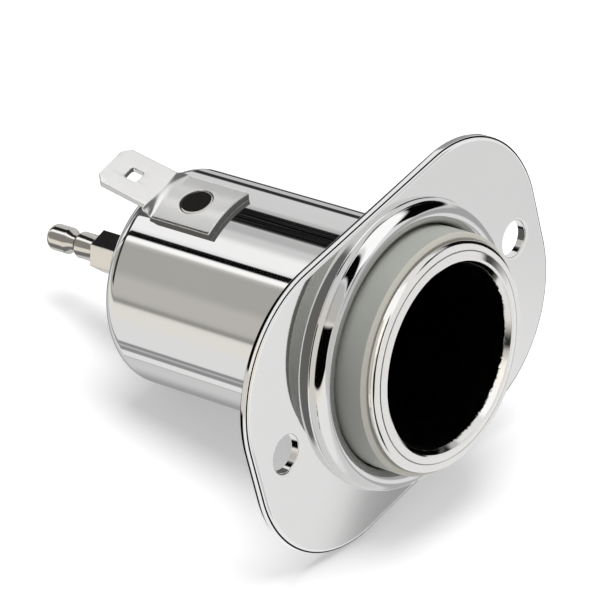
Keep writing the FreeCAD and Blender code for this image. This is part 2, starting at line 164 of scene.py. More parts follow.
# The table that the socket lies on: it touches the flange's edge and the can's rear rim
FLOOR_NORMAL = Vector((0.20613, -0.22581, 0.95211))
FLOOR_DEPTH = 19.464
FLOOR_REACH = 4.0
FLOOR_LIFT = 0.37

# The room's light, the lamp in metres and watts, and the camera, whose lens is in millimetres
ROOM_LIGHT = 0.34
LAMP_SIZE = 0.6
LAMP_POWER = 5.3
LAMP_PLACE = (0.2, -0.1, 0.82)
LENS = 240
CAMERA_PLACE = (-0.25252, -0.25461, 0.25701)
CAMERA_RIGHT = Vector((0.6104, -0.7663, -0.2005))
CAMERA_UP = Vector((0.5565, 0.2347, 0.7970))

# Directions round the axis run from the first to the last turn, in degrees
FIRST_TURN, LAST_TURN = -50, 310
ALL_ROUND = (-60, 320)
WARM_BLUR = 8
# How fine the painted glints of scratches are, round the axis and along it
GLINTS_ROUND, GLINTS_ALONG = 2.2, 14


# Meshes

def from_bmesh(bm, name):
    """Turns a bmesh into an object in the scene."""
    mesh = bpy.data.meshes.new(name)
    bm.to_mesh(mesh)
    bm.free()
    piece = bpy.data.objects.new(name, mesh)
    bpy.context.scene.collection.objects.link(piece)
    return piece


def shade(mesh, angle=SHARP):
    """Shades a mesh smooth, with sharp edges past an angle."""
    mesh.shade_smooth()
    mesh.set_sharp_from_angle(angle=math.radians(angle))


def smoothed(bm, name, angle=SHARP):
    """Turns a bmesh into a smooth object with sharp edges past an angle, its faces outward."""
    bmesh.ops.remove_doubles(bm, verts=bm.verts, dist=MERGE)
    bmesh.ops.recalc_face_normals(bm, faces=bm.faces)
    piece = from_bmesh(bm, name)
    shade(piece.data, angle)
    return piece


def applied(piece):
    """Applies a piece's modifiers to its mesh."""
    evaluated = piece.evaluated_get(bpy.context.evaluated_depsgraph_get())
    mesh = bpy.data.meshes.new_from_object(evaluated)
    piece.modifiers.clear()
    piece.data = mesh
    return piece


def flats_kept(piece):
    """Weights a piece's shading by face area, so that its flats look flat."""
    weigh = piece.modifiers.new("flats", "WEIGHTED_NORMAL")
    weigh.keep_sharp = True
    return applied(piece)


def broken_edges(piece, width, steps, angle):
    """Breaks a piece's edges past an angle by a small round."""
    soft = piece.modifiers.new("edges", "BEVEL")
    soft.width = width * MM
    soft.segments = steps
    soft.limit_method = "ANGLE"
    soft.angle_limit = math.radians(angle)
    shade(applied(piece).data)


def combined(piece, tool, operation="DIFFERENCE"):
    """Cuts a tool out of a piece, or joins it to the piece, and takes the tool away."""
    change = piece.modifiers.new("tool", "BOOLEAN")
    change.operation = operation
    change.solver = "EXACT"
    change.object = tool
    shade(applied(piece).data)
    bpy.data.objects.remove(tool)


def drill(piece, place, direction, radius, length):
    """Cuts a round hole into a piece, centred on a place and running both ways along a direction."""
    bm = bmesh.new()
    turn = Vector(direction).to_track_quat("Z", "Y").to_matrix().to_4x4()
    bmesh.ops.create_cone(bm, cap_ends=True, segments=HOLE_STEPS, radius1=radius * MM, radius2=radius * MM,
                          depth=length * MM, matrix=Matrix.Translation(Vector(place) * MM) @ turn)
    combined(piece, smoothed(bm, "drill"))


def arc(centre, radius, start, end, steps):
    """Points of an arc between two angles in degrees."""
    points = []
    for i in range(steps + 1):
        angle = math.radians(start + (end - start) * i / steps)
        points.append((centre[0] + radius * math.cos(angle), centre[1] + radius * math.sin(angle)))
    return points


def rounded(corners, steps=14):
    """The points of a closed outline whose corners are (x, y) or (x, y, radius).

    A point just outside each rounding holds the flat beside it flat.
    """
    points = []
    count = len(corners)
    for i, corner in enumerate(corners):
        spot = Vector(corner[:2])
        if len(corner) == 2:
            points.append(tuple(spot))
            continue
        before = (Vector(corners[i - 1][:2]) - spot).normalized()
        after = (Vector(corners[(i + 1) % count][:2]) - spot).normalized()
        half = before.angle(after) / 2
        reach = corner[2] / math.tan(half)
        centre = spot + (before + after).normalized() * (corner[2] / math.sin(half))
        start = spot + before * reach
        end = spot + after * reach
        first = math.atan2(*(start - centre).yx)
        sweep = math.atan2(*(end - centre).yx) - first
        sweep = (sweep + math.pi) % (2 * math.pi) - math.pi
        points.append(tuple(start + before * HOLD))
        for k in range(steps + 1):
            angle = first + sweep * k / steps
            points.append((centre.x + corner[2] * math.cos(angle), centre.y + corner[2] * math.sin(angle)))
        points.append(tuple(end + after * HOLD))
    return points


def spot_round(radius, place, turn):
    """A spot from its radius, its place along the axis and its direction round it."""
    return radius * math.cos(turn) * MM, place * MM, radius * math.sin(turn) * MM


def turned(name, outline, segments=TURNED_STEPS):
    """A body turned about the Y axis from a closed outline of (radius, place on the axis)."""
    bm = bmesh.new()
    rings = []
    for radius, place in outline:
        if radius == 0:
            rings.append([bm.verts.new((0, place * MM, 0))] * segments)
            continue
        rings.append([bm.verts.new(spot_round(radius, place, 2 * math.pi * k / segments))
                      for k in range(segments)])
    for i, ring in enumerate(rings):
        other = rings[(i + 1) % len(rings)]
        for k in range(segments):
            j = (k + 1) % segments
            corners = list(dict.fromkeys([ring[k], ring[j], other[j], other[k]]))
            if len(corners) > 2:
                bm.faces.new(corners)
    return smoothed(bm, name)


def swept(name, section):
    """A body made of sections round the axis, each for its own direction."""
    bm = bmesh.new()
    columns = []
    for k in range(SWEEP_STEPS):
        turn = 2 * math.pi * k / SWEEP_STEPS
        columns.append([bm.verts.new(spot_round(radius, place, turn)) for radius, place in section(turn)])
    for k, column in enumerate(columns):
        beside = columns[(k + 1) % SWEEP_STEPS]
        for i in range(len(column)):
            j = (i + 1) % len(column)
            bm.faces.new((column[i], column[j], beside[j], beside[i]))
    return smoothed(bm, name)


def outline_radius(turn, inset):
    """How far the flange's outline, moved in by an inset, lies from the axis in a direction."""
    corner = CORNER - inset
    straight_x = HALF_LENGTH - CORNER
    straight_z = HALF_WIDTH - CORNER
    x = abs(math.cos(turn))
    z = abs(math.sin(turn))
    if (HALF_LENGTH - inset) * z <= straight_z * x:
        return (HALF_LENGTH - inset) / x
    if (HALF_WIDTH - inset) * x <= straight_x * z:
        return (HALF_WIDTH - inset) / z
    along = x * straight_x + z * straight_z
    return along + math.sqrt(along * along - straight_x ** 2 - straight_z ** 2 + corner ** 2)


def edge_drop(depth):
    """How far the flange's front has fallen back, at a depth inside its outline."""
    if depth >= EDGE_ROUND:
        return 0
    return EDGE_ROUND - math.sqrt(max(EDGE_ROUND ** 2 - (EDGE_ROUND - depth) ** 2, 0))


def collar_section(_):
    """The section of the raised collar, the same all round, out to the corner at its foot."""
    section = [(CAN_INNER, 0), (CAN_INNER, LEDGE), (COUNTERBORE, LEDGE)]
    section += [(COUNTERBORE, LEDGE - STEP), (COUNTERBORE, COLLAR_TOP + 0.1)]
    section += arc((COLLAR_OUTER - COLLAR_CROWN, CROWN_CENTRE), COLLAR_CROWN, -152, 0, 48)
    section += arc((COLLAR_FOOT, PLATE_FRONT - COLLAR_CORNER), COLLAR_CORNER, 180, 90, 10)
    return section + [(COLLAR_SEAM, PLATE_FRONT), (COLLAR_SEAM, 0), (COLLAR_FOOT, 0), (CAN_INNER + STEP, 0)]


def plate_section(turn):
    """The section of the flat plate in one direction from the axis, up to its rounded edge."""
    start, end = COLLAR_SEAM, outline_radius(turn, EDGE_BAND)
    section = [(start, 0), (start, PLATE_FRONT), ((start + end) / 2, PLATE_FRONT), (end, PLATE_FRONT)]
    return section + [(end, 0), (end - STEP, 0), (start + STEP, 0)]


def edge_section(turn):
    """The section of the plate's rounded edge in one direction from the axis."""
    section = [(outline_radius(turn, EDGE_BAND), PLATE_FRONT)]
    for k in range(13):
        depth = EDGE_ROUND * (1 - math.sin(math.radians(90 * k / 12)))
        section.append((outline_radius(turn, depth), PLATE_FRONT + edge_drop(depth)))
    outer = outline_radius(turn, 0)
    section += [(outer - depth, place) for depth, place in REAR_ROUND]
    return section + [(outline_radius(turn, EDGE_BAND), 0)]


def make_flange():
    """The oval plate with two punched holes, whose front edges are rounded."""
    piece = swept("flange", plate_section)
    reach = HOLE_RADIUS + HOLE_ROUND
    punch = [(0, PLATE_FRONT - 1), (reach, PLATE_FRONT - 1), (reach, PLATE_FRONT)]
    punch += arc((reach, PLATE_FRONT + HOLE_ROUND), HOLE_ROUND, 270, 180, 12)[1:]
    punch += [(HOLE_RADIUS, 1), (0, 1)]
    for side in (-1, 1):
        cutter = turned("punch", punch, segments=HOLE_STEPS)
        cutter.location.x = side * HOLE_PLACE * MM
        combined(piece, cutter)
    # The border between a flat face and a round is sharp, so the round's shading stays off the flat
    bm = bmesh.new()
    bm.from_mesh(piece.data)
    for edge in bm.edges:
        if len({abs(face.normal.y) > FLAT for face in edge.link_faces}) == 2:
            edge.smooth = False
    bm.to_mesh(piece.data)
    bm.free()
    return flats_kept(piece)


def make_ring():
    """The light ring: a sleeve round the tube, with a shoulder that the collar's ledge clamps."""
    return turned("ring_sleeve", rounded([
        (RING_INNER, RING_FRONT),
        (RING_OUTER - 0.5, RING_FRONT, 0.15),
        (RING_OUTER, RING_FRONT + 0.35, 0.08),
        (RING_OUTER, LEDGE, 0.1),
        (RING_TAIL, LEDGE),
        (RING_TAIL, RING_TAIL_END, 0.1),
        (RING_INNER, RING_TAIL_END, 0.1),
    ]))


def make_tube():
    """The drawn inner tube, with its beaded lip at the mouth and its step at the bottom."""
    outer_step = TUBE_STEP_START + TUBE_WALL * (math.sqrt(2) - 1)
    return turned("tube_cup", rounded([
        (BORE, TUBE_STEP_START, 0.3),
        (BORE - TUBE_STEP, TUBE_STEP_START + TUBE_STEP, 0.3),
        (BORE - TUBE_STEP, TUBE_FLOOR, 0.8),
        (TUBE_HOLE, TUBE_FLOOR),
        (TUBE_HOLE, TUBE_REAR),
        (TUBE_OUTER - TUBE_STEP, TUBE_REAR, 1.5),
        (TUBE_OUTER - TUBE_STEP, outer_step + TUBE_STEP, 0.3),
        (TUBE_OUTER, outer_step, 0.3),
        (TUBE_OUTER, RING_FRONT),
        (LIP_OUTER, RING_FRONT, 0.12),
        (LIP_OUTER, LIP_FRONT + 0.32, 0.55),
        (LIP_OUTER - 1.02, LIP_FRONT + 0.31, 0.1),
        (LIP_OUTER - 1.05, LIP_FRONT + 0.44, 0.03),
        (LIP_OUTER - 1.10, LIP_FRONT + 0.27, 0.03),
        (BORE + 0.7, LIP_FRONT + 0.05, 0.12),
        (BORE + 0.45, LIP_FRONT + 0.16, 0.06),
        (BORE, LIP_FRONT + 0.95, 0.4),
    ]), segments=POLISHED_STEPS)


def make_can():
    """The deep-drawn can, turned out at its mouth, with a hole for the rivet."""
    piece = turned("can_shell", rounded([
        (CAN_FLARE, 0),
        (CAN_FLARE, FLARE_REAR, 0.12),
        (CAN_OUTER, FLARE_REAR, 0.5),
        (CAN_OUTER, CAN_REAR, 2.4),
        (CAN_HOLE, CAN_REAR, 0.1),
        (CAN_HOLE, CAN_FLOOR),
        (CAN_INNER, CAN_FLOOR, 1.8),
        (CAN_INNER, 0, 1.1),
    ]), segments=POLISHED_STEPS)
    outward = (-math.sin(TAB_TURN), 0, math.cos(TAB_TURN))
    drill(piece, (outward[0] * CAN_OUTER, RIVET_PLACE, outward[2] * CAN_OUTER), outward, RIVET_SHANK, 4)
    return piece


def prism(corners, start, end, name):
    """A straight bar along Z with the given corners in X and Y."""
    bm = bmesh.new()
    low, high = ([bm.verts.new((x * MM, y * MM, z * MM)) for x, y in corners] for z in (start, end))
    bm.faces.new(low)
    bm.faces.new(high)
    for i in range(len(corners)):
        j = (i + 1) % len(corners)
        bm.faces.new((low[i], low[j], high[j], high[i]))
    return smoothed(bm, name)


def tab_spot(across, along, height):
    """Where a point of the flat tab lies once its foot is curved and its blade is bent up."""
    radius = TAB_OUTER + height
    turn = across / TAB_OUTER
    foot = Vector((radius * math.sin(turn), TAB_BEND + along, radius * math.cos(turn)))
    blade = Vector((across, TAB_BEND + along * math.cos(TAB_RISE) - height * math.sin(TAB_RISE),
                    TAB_OUTER + along * math.sin(TAB_RISE) + height * math.cos(TAB_RISE)))
    share = min(max(along / TAB_BLEND, 0), 1)
    share = share * share * (3 - 2 * share)
    return foot.lerp(blade, share) * MM


def make_tab():
    """The earth tab, cut flat with its two holes, then curved to the can and bent up."""
    piece = prism(TAB_OUTLINE, -TAB_THICKNESS, 0, "tab_strip")
    drill(piece, (0, RIVET_PLACE - TAB_BEND, -TAB_THICKNESS / 2), (0, 0, 1), RIVET_HEAD + 0.08, 3)
    combined(piece, prism(rounded([
        (-LATCH_HALF, LATCH_PLACE - LATCH_HALF, LATCH_ROUND),
        (LATCH_HALF, LATCH_PLACE - LATCH_HALF, LATCH_ROUND),
        (LATCH_HALF, LATCH_PLACE + LATCH_HALF, LATCH_ROUND),
        (-LATCH_HALF, LATCH_PLACE + LATCH_HALF, LATCH_ROUND),
    ], steps=5), -2, 2, "latch_hole"))
    broken_edges(piece, 0.11, 3, 40)

    bm = bmesh.new()
    bm.from_mesh(piece.data)
    cuts = [(Vector((0, (TAB_FRONT + TAB_GRID * k) * MM, 0)), Vector((0, 1, 0))) for k in range(1, 29)]
    cuts += [(Vector((0, BEND_GRID * k * MM, 0)), Vector((0, 1, 0))) for k in range(18)]
    cuts += [(Vector((TAB_GRID * k * MM, 0, 0)), Vector((1, 0, 0))) for k in range(-10, 11)]
    for place, direction in cuts:
        bmesh.ops.bisect_plane(bm, geom=bm.verts[:] + bm.edges[:] + bm.faces[:], dist=MERGE,
                               plane_co=place, plane_no=direction)
    turn = Matrix.Rotation(-TAB_TURN, 3, "Y")
    for vert in bm.verts:
        vert.co = turn @ tab_spot(*(vert.co / MM))
    bpy.data.objects.remove(piece)
    return flats_kept(smoothed(bm, "tab_strip", 35))


def make_rivet():
    """The flush rivet: a barely domed head in the tab's hole, a shank, and a tail inside the can."""
    rivet = turned("rivet_body", [
        (0, RIVET_TOP), (RIVET_HEAD - 0.22, RIVET_TOP - 0.006), (RIVET_HEAD - 0.17, RIVET_TOP - 0.01),
        (RIVET_HEAD - 0.07, RIVET_TOP - 0.05), (RIVET_HEAD, RIVET_TOP - 0.13),
        (RIVET_HEAD, CAN_OUTER + 0.03), (RIVET_HEAD, CAN_OUTER), (RIVET_SHANK, CAN_OUTER),
        (RIVET_SHANK, TAIL_OUTER), (RIVET_TAIL, TAIL_OUTER), (RIVET_TAIL, TAIL_INNER + 0.08),
        (RIVET_TAIL - 0.05, TAIL_INNER), (0, TAIL_INNER),
    ], segments=HOLE_STEPS)
    stand = Matrix.Rotation(math.radians(90), 4, "X")
    place = Matrix.Translation((0, RIVET_PLACE * MM, 0))
    rivet.data.transform(Matrix.Rotation(-TAB_TURN, 4, "Y") @ place @ stand)
    return rivet


def make_terminal():
    """The rear terminal: a hexagon bar, bored for the screw, with a grooved pin at its end."""
    side = HEX_WIDTH / math.sqrt(3)
    turns = [math.radians(60 * k) for k in range(6)]
    bar = prism([(side * math.cos(turn), side * math.sin(turn)) for turn in turns],
                -HEX_REAR, -HEX_FRONT, "terminal_body")
    drill(bar, (0, 0, -HEX_FRONT), (0, 0, 1), SCREW_HOLE, 12)
    pin = turned("pin", rounded([
        (0, HEX_REAR - PIN_SUNK),
        (PIN_RADIUS, HEX_REAR - PIN_SUNK),
        (PIN_RADIUS, HEX_REAR + 3.2, 0.12),
        (PIN_GROOVE, HEX_REAR + 3.75, 0.3),
        (PIN_GROOVE, HEX_REAR + 4.55, 0.3),
        (PIN_RADIUS, HEX_REAR + 5.1, 0.12),
        (PIN_RADIUS, PIN_END, 0.85),
        (0, PIN_END),
    ], steps=8), segments=PIN_STEPS)
    pin.data.transform(Matrix.Rotation(math.radians(-90), 4, "X"))
    combined(bar, pin, "UNION")
    broken_edges(bar, 0.07, 2, 45)
    bar.data.transform(Matrix.Rotation(HEX_TURN, 4, "Y") @ Matrix.Rotation(math.radians(90), 4, "X"))
    return flats_kept(bar)


# Parts of node trees

def node_group(name, inputs, outputs):
    """A node group with named inputs and outputs, and its inner sockets."""
    group = bpy.data.node_groups.new(name, "ShaderNodeTree")
    for label, value in inputs.items():
        kind = "NodeSocketColor" if isinstance(value, tuple) else "NodeSocketFloat"
        socket = group.interface.new_socket(label, in_out="INPUT", socket_type=kind)
        socket.default_value = value
    for label, kind in outputs.items():
        group.interface.new_socket(label, in_out="OUTPUT", socket_type=kind)
    return group, add(group, "NodeGroupInput").outputs, add(group, "NodeGroupOutput").inputs


def add(tree, kind, **settings):
    """Adds a shader node and sets its properties."""
    node = tree.nodes.new(kind)
    for key, value in settings.items():
        setattr(node, key, value)
    return node


def put(tree, value, socket):
    """Joins another node's output to an input, or sets the input to a plain value."""
    if isinstance(value, bpy.types.NodeSocket):
        tree.links.new(value, socket)
    else:
        socket.default_value = value


def maths(tree, operation, *values):
    """The result of a calculation with outputs or plain numbers."""
    node = add(tree, "ShaderNodeMath", operation=operation)
    for value, socket in zip(values, node.inputs):
        put(tree, value, socket)
    return node.outputs[0]


def mixed(tree, kind, factor, first, second, blend="MIX"):
    """Two numbers or two colours mixed by a factor."""
    node = add(tree, "ShaderNodeMix", data_type=kind, blend_type=blend)
    for label, value in (("Factor", factor), ("A", first), ("B", second)):
        put(tree, value, node.inputs[label])
    return node.outputs["Result"]


def ranged(tree, value, start, end, low=0.0, high=1.0, kind="LINEAR"):
    """A value that runs from low at a start to high at an end, and keeps them beyond."""
    node = add(tree, "ShaderNodeMapRange", interpolation_type=kind)
    for label, given in (("Value", value), ("From Min", start), ("From Max", end), ("To Min", low),
                         ("To Max", high)):
        put(tree, given, node.inputs[label])
    return node.outputs["Result"]


def noise(tree, spot, scale, detail=2):
    """A cloudy pattern of a given fineness."""
    node = add(tree, "ShaderNodeTexNoise")
    for label, value in (("Vector", spot), ("Scale", scale), ("Detail", detail)):
        put(tree, value, node.inputs[label])
    return node.outputs["Fac"]


def bumped(tree, height, strength, distance):
    """The normal of a surface that a pattern raises a little."""
    node = add(tree, "ShaderNodeBump")
    for label, value in (("Height", height), ("Strength", strength), ("Distance", distance)):
        put(tree, value, node.inputs[label])
    return node.outputs["Normal"]


def between_colours(tree, value, *stops):
    """A colour that runs between two, each given with its place from 0 to 1."""
    node = add(tree, "ShaderNodeValToRGB")
    for element, (place, colour) in zip(node.color_ramp.elements, stops):
        element.position = place
        element.color = (*colour, 1)
    put(tree, value, node.inputs["Fac"])
    return node.outputs["Color"]


def own_spot(tree):
    """The shaded spot in the piece's own frame."""
    return add(tree, "ShaderNodeTexCoord").outputs["Object"]


def split(tree, spot):
    """A spot's X, Y and Z."""
    axes = add(tree, "ShaderNodeSeparateXYZ")
    put(tree, spot, axes.inputs[0])
    return axes.outputs


def from_axis(tree, spot):
    """How far a spot lies from the axis, and where it lies along it."""
    axes = split(tree, spot)
    across = add(tree, "ShaderNodeCombineXYZ")
    put(tree, axes["X"], across.inputs["X"])
    put(tree, axes["Z"], across.inputs["Z"])
    radius = add(tree, "ShaderNodeVectorMath", operation="LENGTH")
    put(tree, across.outputs[0], radius.inputs[0])
    return radius.outputs["Value"], axes["Y"]


def all_of(tree, *masks):
    """A mask that is 1 where all the given ones are."""
    whole = masks[0]
    for other in masks[1:]:
        whole = maths(tree, "MULTIPLY", whole, other)
    return whole


def within(tree, value, middle, half, blur):
    """A mask that is 1 within half a width of a middle and fades over a blur on either side."""
    away = maths(tree, "ABSOLUTE", maths(tree, "SUBTRACT", value, middle))
    outside = maths(tree, "ADD", half, blur)
    inside = maths(tree, "SUBTRACT", half, blur)
    return ranged(tree, away, outside, inside, kind="SMOOTHSTEP")


def seen_plainly(tree):
    """A mask that is 1 where a surface is looked at, in a mirror or through glass as well."""
    path = add(tree, "ShaderNodeLightPath").outputs
    seen = maths(tree, "MAXIMUM", path["Is Camera Ray"], path["Is Glossy Ray"])
    return maths(tree, "MAXIMUM", seen, path["Is Transmission Ray"])


# Materials

def bare_material(name):
    """A material whose nodes are still to be laid out, and the input of its output."""
    material = bpy.data.materials.new(name)
    material.use_nodes = True
    tree = material.node_tree
    tree.nodes.clear()
    return material, tree, add(tree, "ShaderNodeOutputMaterial").inputs["Surface"]


def new_material(name):
    """A material with one plain surface."""
    material, tree, output = bare_material(name)
    surface = add(tree, "ShaderNodeBsdfPrincipled")
    put(tree, surface.outputs["BSDF"], output)
    return material, tree, surface.inputs


def plating_group():
    """Plated metal: a faint cloudiness in its colour, uneven polish, and a slight waviness."""
    group, given, out = node_group("plating", {
        "Colour": (0.8, 0.8, 0.8, 1.0),
        "Clouding": 0.04,
        "Roughness": 0.05,
        "Polish variation": 0.03,
        "Waviness": 0.02,
        "Wave size": 120.0,
    }, {"Colour": "NodeSocketColor", "Roughness": "NodeSocketFloat", "Normal": "NodeSocketVector"})
    spot = own_spot(group)
    cloud = maths(group, "MULTIPLY", noise(group, spot, scale=260, detail=3), given["Clouding"])
    put(group, mixed(group, "RGBA", cloud, given["Colour"], (0.35, 0.35, 0.36, 1), blend="MULTIPLY"),
        out["Colour"])
    grain = noise(group, spot, scale=900, detail=4)
    put(group, maths(group, "MULTIPLY_ADD", grain, given["Polish variation"], given["Roughness"]),
        out["Roughness"])
    wave = noise(group, spot, scale=given["Wave size"], detail=1)
    put(group, bumped(group, wave, given["Waviness"], WAVE_DEPTH), out["Normal"])
    return group


def plated(name, colour, roughness, variation, clouding=0.04):
    """A plated finish with its own colour and polish."""
    material, tree, surface = new_material(name)
    coat = add(tree, "ShaderNodeGroup", node_tree=PLATING)
    for label, value in (("Colour", (*colour, 1)), ("Roughness", roughness),
                         ("Polish variation", variation), ("Clouding", clouding)):
        coat.inputs[label].default_value = value
    surface["Metallic"].default_value = 1
    for label, target in (("Colour", "Base Color"), ("Roughness", "Roughness"), ("Normal", "Normal")):
        put(tree, coat.outputs[label], surface[target])
    return material


def painted_shade_over(material, mask, colour, roughness=None):
    """Paints shade over a plated finish where a mask is 1, in a dark colour."""
    tree = material.node_tree
    surface = next(node for node in tree.nodes if node.type == "BSDF_PRINCIPLED").inputs
    plating = next(node for node in tree.nodes if node.type == "GROUP").outputs
    put(tree, mixed(tree, "RGBA", mask, plating["Colour"], colour), surface["Base Color"])
    if roughness is not None:
        put(tree, mixed(tree, "FLOAT", mask, plating["Roughness"], roughness), surface["Roughness"])
    return material


def painted_bore_shade(material):
    """Paints shade into the tube's deep bore: black past the lip, inside the bore's wall."""
    tree = material.node_tree
    spot = own_spot(tree)
    radius, along = from_axis(tree, spot)
    shift = maths(tree, "MULTIPLY_ADD", noise(tree, spot, scale=4200, detail=4),
                  BLACK_RAGGED * MM, -BLACK_RAGGED / 2 * MM)
    past_lip = ranged(tree, maths(tree, "ADD", along, shift), BLACK_FRONT * MM, BLACK_FULL * MM,
                      kind="SMOOTHSTEP")
    mask = all_of(tree, maths(tree, "LESS_THAN", radius, BLACK_RADIUS * MM), past_lip,
                  maths(tree, "LESS_THAN", along, BLACK_REAR * MM))
    return painted_shade_over(material, mask, (0.004, 0.004, 0.004, 1), 0.75)


def painted_groove_shade(material):
    """Paints shade into the chrome in the narrow groove round the ring, in black."""
    tree = material.node_tree
    radius, along = from_axis(tree, own_spot(tree))
    mask = all_of(tree, maths(tree, "GREATER_THAN", radius, (CAN_INNER + 0.4) * MM),
                  maths(tree, "LESS_THAN", radius, (COUNTERBORE + 0.03) * MM),
                  maths(tree, "GREATER_THAN", along, (COLLAR_TOP + 0.12) * MM))
    return painted_shade_over(material, mask, (0.01, 0.01, 0.01, 1))


def milky_plastic():
    """The light ring's plastic: pale and a little translucent, with a fine moulded skin."""
    material, tree, surface = new_material("milky_plastic")
    spot = own_spot(tree)
    mottled = between_colours(tree, noise(tree, spot, scale=180, detail=3),
                              (0, (0.375, 0.384, 0.354)), (1, (0.43, 0.44, 0.408)))
    rim = ranged(tree, split(tree, spot)["Y"], (RING_FRONT + 0.45) * MM, (RING_FRONT + 0.3) * MM,
                 kind="SMOOTHSTEP")
    put(tree, mixed(tree, "RGBA", rim, mottled, CREAM), surface["Base Color"])
    put(tree, bumped(tree, noise(tree, spot, scale=2600), 0.12, SKIN_DEPTH), surface["Normal"])
    surface["Roughness"].default_value = 0.42
    surface["IOR"].default_value = 1.49
    surface["Subsurface Weight"].default_value = 0.25
    surface["Subsurface Radius"].default_value = (1.0, 1.0, 1.0)
    surface["Subsurface Scale"].default_value = 0.0008
    return material


def moulded_insulator():
    """The insulators' dark moulding compound with pale flecks of filler."""
    material, tree, surface = new_material("moulded_insulator")
    fleck = noise(tree, own_spot(tree), scale=2400, detail=4)
    put(tree, between_colours(tree, fleck, (0.45, (0.012, 0.009, 0.008)), (0.75, (0.05, 0.036, 0.028))),
        surface["Base Color"])
    put(tree, bumped(tree, fleck, 0.25, SKIN_DEPTH), surface["Normal"])
    surface["Roughness"].default_value = 0.5
    return material


def dress(piece, material, slot, *replaced):
    """Gives a new piece its finish and its body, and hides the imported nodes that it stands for."""
    piece.data.materials.clear()
    piece.data.materials.append(material)
    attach(piece, "root")
    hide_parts(*replaced)
    return piece


# Studio

def make_floor():
    """A pale table, seen from above only, that keeps the socket's soft shadow."""
    along = (Vector((0, 1, 0)) - FLOOR_NORMAL * FLOOR_NORMAL.y).normalized()
    side = along.cross(FLOOR_NORMAL).normalized()
    centre = FLOOR_NORMAL * (-FLOOR_DEPTH * MM)
    bm = bmesh.new()
    bm.faces.new([bm.verts.new(centre + side * x * FLOOR_REACH + along * y * FLOOR_REACH)
                  for x, y in ((-1, -1), (1, -1), (1, 1), (-1, 1))])
    floor = from_bmesh(bm, "table")
    if floor.data.polygons[0].normal.dot(FLOOR_NORMAL) < 0:
        floor.data.flip_normals()
    floor.visible_glossy = False

    material, tree, output = bare_material("table_top")
    matte = add(tree, "ShaderNodeBsdfDiffuse")
    matte.inputs["Color"].default_value = (0.86, 0.86, 0.87, 1)
    lift = add(tree, "ShaderNodeEmission")
    lift.inputs["Color"].default_value = (1, 1, 1, 1)
    put(tree, maths(tree, "MULTIPLY", seen_plainly(tree), FLOOR_LIFT), lift.inputs["Strength"])
    lifted = add(tree, "ShaderNodeAddShader")
    put(tree, matte.outputs[0], lifted.inputs[0])
    put(tree, lift.outputs[0], lifted.inputs[1])
    from_above = add(tree, "ShaderNodeMixShader")
    put(tree, add(tree, "ShaderNodeNewGeometry").outputs["Backfacing"], from_above.inputs[0])
    put(tree, lifted.outputs[0], from_above.inputs[1])
    put(tree, add(tree, "ShaderNodeBsdfTransparent").outputs[0], from_above.inputs[2])
    put(tree, from_above.outputs[0], output)
    floor.data.materials.append(material)


# Shades of the studio's cards, from 0 to 255 as they show in polished metal
WHITE, PALE, LIGHT, GREY, DIM, DARK, BLACK = 251, 221, 203, 178, 145, 45, 4


def card(start, end, shade, rear=1.2, front=-1.2, soft=3.0, fade=0.02):
    """A card of the studio: from one angle round the axis to another, between two places along it.

    Angles run in degrees from +X towards +Z, and places from 1 at the rear to -1 at the mouth.
    """
    return {
        "Middle": (start + end) / 2,
        "Half turn": (end - start) / 2,
        "Soft": soft,
        "Level": (rear + front) / 2,
        "Half level": (rear - front) / 2,
        "Fade": fade,
        "Shade": shade,
    }


CAN_CARDS = [
    card(-32, -22, DARK), card(-20, -11, GREY), card(-10, 0, DARK, soft=1.5),
    card(34, 40, GREY), card(39, 63, BLACK, soft=1), card(63, 74, GREY),
    card(84, 104.5, 240, soft=5), card(105, 111, BLACK, soft=0.5), card(111.5, 117, WHITE, soft=1.5),
    card(118, 180, 163, soft=4), card(152, 176, 179, soft=6), card(177, 182, DIM, soft=2),
    card(184, 227, 218, soft=3), card(227.5, 239.5, 138, soft=0.8), card(231.5, 234, GREY, soft=1),
    card(240, 248, PALE, soft=0.8), card(248.5, 250.5, GREY, soft=0.8), card(251, 320, 196, soft=2),
    card(276, 320, 146, soft=16), card(78, 168, DARK, rear=0.88, front=0.74, soft=4),
]
COLLAR_CARDS = [
    card(-36, -6, 160, soft=6), card(-1, 33, BLACK, rear=0.3, front=-0.68), card(37, 77, WHITE),
    card(83, 103, BLACK, rear=0.3, front=-0.86, soft=2), card(106, 136, GREY),
    card(139, 184, BLACK, rear=0.32, front=-0.87, soft=2), card(190, 245, 226),
    card(256, 284, 200, soft=6), card(286, 300, 168),
    card(*ALL_ROUND, 188, rear=-0.9), card(50, 66, BLACK, rear=-0.9),
    card(100, 290, 92, front=0.553, soft=8, fade=0.006), card(-60, -24, BLACK, front=0.3, fade=0.05),
]
PLATE_CARDS = [
    card(-43.8, -30, 211, soft=1.5), card(-60, -46.4, 150, rear=-0.55, front=-0.5745, soft=1, fade=0.005),
    card(62, 100, BLACK, front=0.5, soft=5), card(180, 232, BLACK, front=0.5, soft=8),
    card(100, 160, GREY, front=0.5, soft=20),
]
EDGE_CARDS = [
    card(*ALL_ROUND, BLACK, rear=0.36, front=-0.3, fade=0.06),
    card(*ALL_ROUND, GREY, rear=-0.72, front=-0.79, fade=0.03),
    card(*ALL_ROUND, BLACK, front=0.66), card(-18, 30, DIM, front=0.5), card(150, 190, LIGHT, front=0.5),
    card(-60, -22, BLACK, front=-0.35),
]
